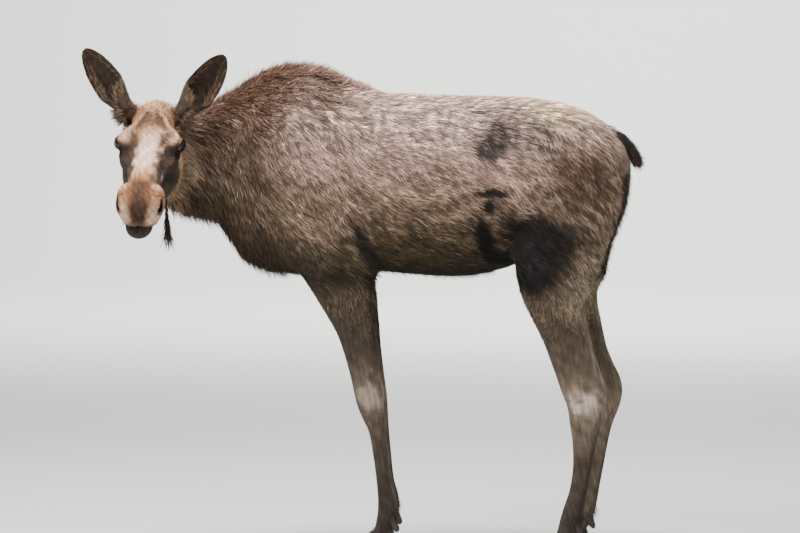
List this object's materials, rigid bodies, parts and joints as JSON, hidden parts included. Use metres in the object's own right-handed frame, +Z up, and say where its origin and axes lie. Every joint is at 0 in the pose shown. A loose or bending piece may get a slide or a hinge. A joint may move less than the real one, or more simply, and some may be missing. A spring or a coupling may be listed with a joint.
{
  "type": "moose",
  "caption": "Young moose without antlers, standing still at life size with its head turned to its left: a static display animal with long legs, humped shoulders and a deep muzzle.",
  "frame": {"origin": "on the floor below the centre of the whole model's bounding box", "axes": "+X towards the tail and -X towards the chest, -Y the animal's left side, +Z up"},
  "size_m": [1.8054, 0.865, 1.6943],
  "materials": {
    "coat": "matte",
    "face": "matte",
    "dark_coat": "matte",
    "horn": "satin",
    "eye": "gloss"
  },
  "bodies": {
    "root": {"torso": "coat", "neck": "coat", "head": "face", "ear_left": "dark_coat", "ear_right": "dark_coat", "eye_left": "eye", "eye_right": "eye", "tail": "dark_coat", "bell": "dark_coat", "foreleg_upper_left": "coat", "foreleg_lower_left": "coat", "foreleg_claw_inner_left": "horn", "foreleg_claw_outer_left": "horn", "foreleg_dewclaw_inner_left": "horn", "foreleg_dewclaw_outer_left": "horn", "foreleg_upper_right": "coat", "foreleg_lower_right": "coat", "foreleg_claw_inner_right": "horn", "foreleg_claw_outer_right": "horn", "foreleg_dewclaw_inner_right": "horn", "foreleg_dewclaw_outer_right": "horn", "hindleg_upper_left": "coat", "hindleg_lower_left": "coat", "hindleg_claw_inner_left": "horn", "hindleg_claw_outer_left": "horn", "hindleg_dewclaw_inner_left": "horn", "hindleg_dewclaw_outer_left": "horn", "hindleg_upper_right": "coat", "hindleg_lower_right": "coat", "hindleg_claw_inner_right": "horn", "hindleg_claw_outer_right": "horn", "hindleg_dewclaw_inner_right": "horn", "hindleg_dewclaw_outer_right": "horn"}
  },
  "joints": []
}
